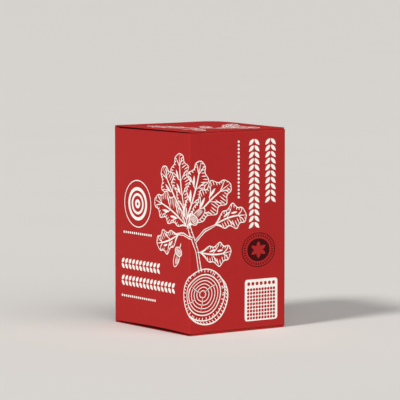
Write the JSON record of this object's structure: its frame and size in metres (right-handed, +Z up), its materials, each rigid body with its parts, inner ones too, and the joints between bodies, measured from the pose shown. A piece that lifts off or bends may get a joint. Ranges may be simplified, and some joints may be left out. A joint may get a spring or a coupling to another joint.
{
  "type": "mushroom grow kit carton",
  "caption": "Printed straight-tuck carton of fluted board, shut, with a bagged mushroom substrate block inside. The lid hinges at the back; its tuck flap and the dust flaps bend inwards.",
  "frame": {"origin": "centre of the base, on the surface that the carton stands on", "axes": "+Z up through the lid, -Y out of the front wall that the lid tucks behind, +Y out of the back wall that carries the lid's hinge crease"},
  "size_m": [0.133, 0.119, 0.2053],
  "materials": {
    "printed_board": "satin",
    "bag_film": "gloss",
    "filter_fleece": "matte",
    "tape": "satin",
    "substrate": "matte"
  },
  "bodies": {
    "carton": {"carton_walls": "printed_board", "base_panel": "printed_board", "base_tuck_flap": "printed_board", "base_dust_flap_left": "printed_board", "base_dust_flap_right": "printed_board", "grow_bag": "bag_film", "filter_patch": "filter_fleece", "bag_tape": "tape", "substrate_block": "substrate"},
    "lid": {"lid_panel": "printed_board"},
    "tuck_flap": {"tuck_flap": "printed_board"},
    "dust_flap_left": {"dust_flap_left": "printed_board"},
    "dust_flap_right": {"dust_flap_right": "printed_board"}
  },
  "joints": [
    {"name": "lid_crease", "type": "hinge", "parent": "carton", "child": "lid", "pos_m": [0, 0.05875, 0.20225], "axis": [-1, 0, 0], "range_deg": [0, 195]},
    {"name": "tuck_crease", "type": "hinge", "parent": "lid", "child": "tuck_flap", "pos_m": [0, -0.0561, 0.2012], "axis": [1, 0, 0], "range_deg": [0, 30], "stiffness_Nm_per_rad": 0.02},
    {"name": "dust_crease_left", "type": "hinge", "parent": "carton", "child": "dust_flap_left", "pos_m": [-0.065, 0, 0.1997], "axis": [0, 1, 0], "range_deg": [0, 35], "stiffness_Nm_per_rad": 0.02},
    {"name": "dust_crease_right", "type": "hinge", "parent": "carton", "child": "dust_flap_right", "pos_m": [0.065, 0, 0.1997], "axis": [0, -1, 0], "range_deg": [0, 35], "stiffness_Nm_per_rad": 0.02}
  ]
}
